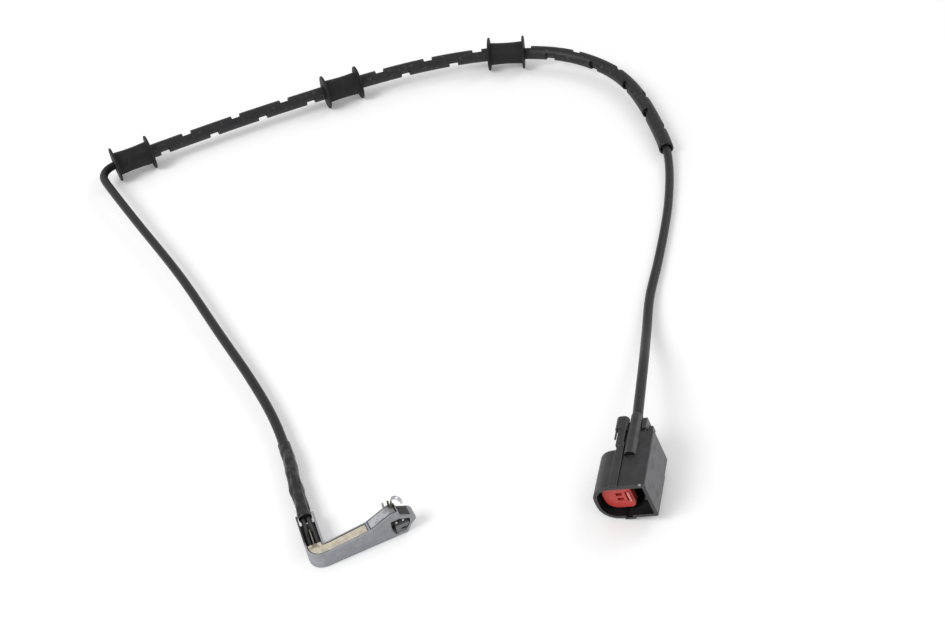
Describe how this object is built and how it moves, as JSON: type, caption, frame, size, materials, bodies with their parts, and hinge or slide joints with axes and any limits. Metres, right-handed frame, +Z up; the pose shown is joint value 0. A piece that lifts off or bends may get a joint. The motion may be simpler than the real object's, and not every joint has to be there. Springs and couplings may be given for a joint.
{
  "type": "brake pad wear sensor",
  "caption": "Brake pad wear sensor lead with L-shaped sensor head, slotted conduit with rubber grommets and sealed two-way connector.",
  "frame": {"origin": "middle of the lead's outline seen from above, on the surface that it lies on, measured without the free cable", "axes": "+Z up from the surface; +Y from the sensor head and the connector towards the grommets; +X from the sensor head towards the connector"},
  "size_m": [0.2835, 0.3248, 0.0212],
  "materials": {
    "sensor_housing": "satin grey moulding",
    "potting_compound": "cast epoxy, semi-gloss",
    "spring_clip": "stamped spring steel",
    "sensing_tip": "matt",
    "element_carrier": "matt",
    "wear_loop": "tinned wire",
    "core_wire_a": "satin",
    "core_wire_b": "satin",
    "heat_shrink_sleeve": "satin",
    "cable": "satin jacket",
    "slotted_conduit": "satin",
    "grommet_first": "matt",
    "grommet_second": "matt",
    "grommet_third": "matt",
    "connector_housing": "semi-gloss moulding",
    "terminal_carrier": "matt",
    "terminal_lock": "satin",
    "perimeter_seal": "matt",
    "terminal_upper": "tinned",
    "terminal_lower": "tinned"
  },
  "bodies": {
    "root": {"sensor_housing": "sensor_housing", "potting_compound": "potting_compound", "spring_clip": "spring_clip", "sensing_tip": "sensing_tip", "element_carrier": "element_carrier", "wear_loop": "wear_loop", "core_wire_a": "core_wire_a", "core_wire_b": "core_wire_b", "heat_shrink_sleeve": "heat_shrink_sleeve", "cable": "cable", "slotted_conduit": "slotted_conduit", "grommet_first": "grommet_first", "grommet_second": "grommet_second", "grommet_third": "grommet_third", "connector_housing": "connector_housing", "terminal_carrier": "terminal_carrier", "terminal_lock": "terminal_lock", "perimeter_seal": "perimeter_seal", "terminal_upper": "terminal_upper", "terminal_lower": "terminal_lower"}
  },
  "joints": []
}
